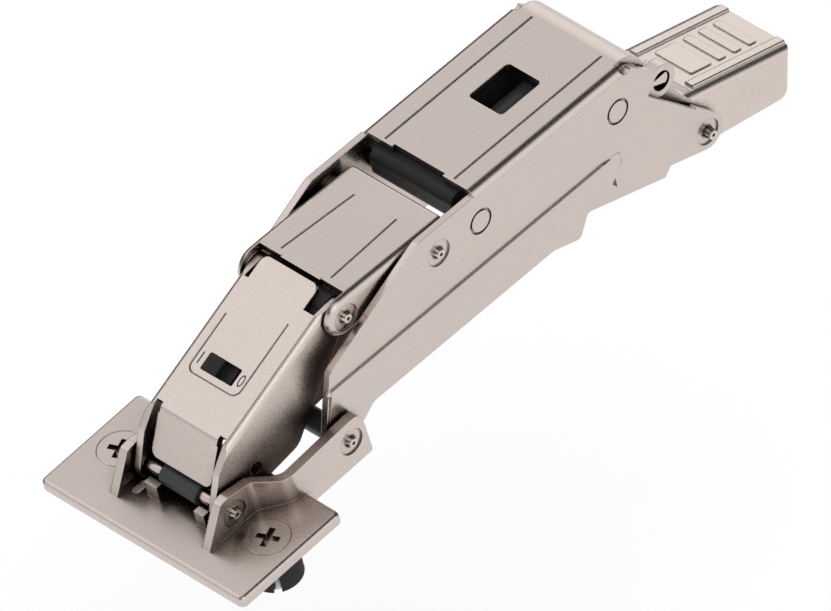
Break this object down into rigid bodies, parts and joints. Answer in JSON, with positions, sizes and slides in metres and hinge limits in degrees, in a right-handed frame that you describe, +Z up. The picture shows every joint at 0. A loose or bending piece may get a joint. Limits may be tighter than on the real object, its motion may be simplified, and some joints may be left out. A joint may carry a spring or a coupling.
{
  "type": "concealed cabinet hinge",
  "caption": "Wide-angle concealed cabinet hinge: folded steel levers join a clip-on arm to a flat door plate with expanding dowels; a slide switch sets the damper.",
  "frame": {"origin": "middle of the hinge arm's seat, level with the lower edges of its two walls", "axes": "+X along the arm into the cabinet, +Y along the pivots to the far side, +Z up from the seat"},
  "size_m": [0.156, 0.052, 0.0648],
  "materials": {
    "nickel_sheet": "satin nickel plate with a fine grain",
    "nickel_pin": "turned, nickel plated",
    "black_plastic": "moulded, semi-matte",
    "zinc": "bright die-cast zinc",
    "spring_steel": "oiled wire"
  },
  "bodies": {
    "hinge_arm_body": {"hinge_arm": "nickel_sheet", "clip_pin": "nickel_pin", "clip_spring": "spring_steel", "closing_spring": "spring_steel", "control_pin": "nickel_pin"},
    "clip_lever_body": {"clip_lever": "nickel_sheet"},
    "outer_link_body": {"outer_link": "nickel_sheet", "rear_pivot_pin": "nickel_pin", "rear_washers": "nickel_pin", "middle_pivot_pin": "nickel_pin", "middle_washers": "nickel_pin", "front_cross_pin": "nickel_pin", "rear_cross_pin": "nickel_pin", "damper_housing": "black_plastic", "damper_barrel": "black_plastic"},
    "middle_link_body": {"middle_link": "nickel_sheet", "knee_pin": "nickel_pin", "knee_washers": "nickel_pin", "inner_link_pin": "nickel_pin"},
    "inner_link_body": {"inner_link": "nickel_sheet"},
    "front_link_body": {"front_link": "nickel_sheet", "link_insert": "black_plastic"},
    "switch_body": {"switch_slider": "black_plastic"},
    "door_plate_body": {"door_plate": "nickel_sheet", "front_pivot_pin": "nickel_pin", "lower_pivot_pin": "nickel_pin", "pin_sleeve": "black_plastic", "lower_washers": "nickel_pin", "lower_roller": "black_plastic", "fixing_screws": "nickel_pin", "expanding_dowels": "black_plastic", "dowel_cores": "zinc"}
  },
  "joints": [
    {"name": "hinge_close", "type": "hinge", "parent": "hinge_arm_body", "child": "outer_link_body", "pos_m": [-0.007, 0, 0.0053], "axis": [0, 1, 0], "range_deg": [0, 30], "deforming": ["closing_spring"]},
    {"name": "control_pivot", "type": "hinge", "parent": "hinge_arm_body", "child": "inner_link_body", "pos_m": [-0.0198, 0, 0.0233], "axis": [0, 1, 0], "range_deg": [0, 43.2]},
    {"name": "middle_pivot", "type": "hinge", "parent": "outer_link_body", "child": "middle_link_body", "pos_m": [-0.07813, 0, 0.01522], "axis": [0, 1, 0], "range_deg": [0, 87.5]},
    {"name": "knee_pivot", "type": "hinge", "parent": "middle_link_body", "child": "front_link_body", "pos_m": [-0.09946, 0, 0.01074], "axis": [0, 1, 0], "range_deg": [-83.6, 0]},
    {"name": "lower_pivot", "type": "hinge", "parent": "outer_link_body", "child": "door_plate_body", "pos_m": [-0.10279, 0, -0.01268], "axis": [0, 1, 0], "range_deg": [0, 75.1]},
    {"name": "switch_slide", "type": "slide", "parent": "front_link_body", "child": "switch_body", "axis": [0, 1, 0], "range_m": [-0.004, 0]},
    {"name": "clip_release", "type": "hinge", "parent": "hinge_arm_body", "child": "clip_lever_body", "pos_m": [0.008, 0, 0.0062], "axis": [0, 1, 0], "range_deg": [-10, 0], "stiffness_Nm_per_rad": 0.02, "springref_deg": 11.46, "deforming": ["clip_spring"]}
  ],
  "couplings": [
    {"joint": "control_pivot", "follows": "hinge_close", "ratio": 1.4383},
    {"joint": "middle_pivot", "follows": "hinge_close", "ratio": 2.9133},
    {"joint": "knee_pivot", "follows": "hinge_close", "ratio": -2.7833},
    {"joint": "lower_pivot", "follows": "hinge_close", "ratio": 2.5}
  ]
}
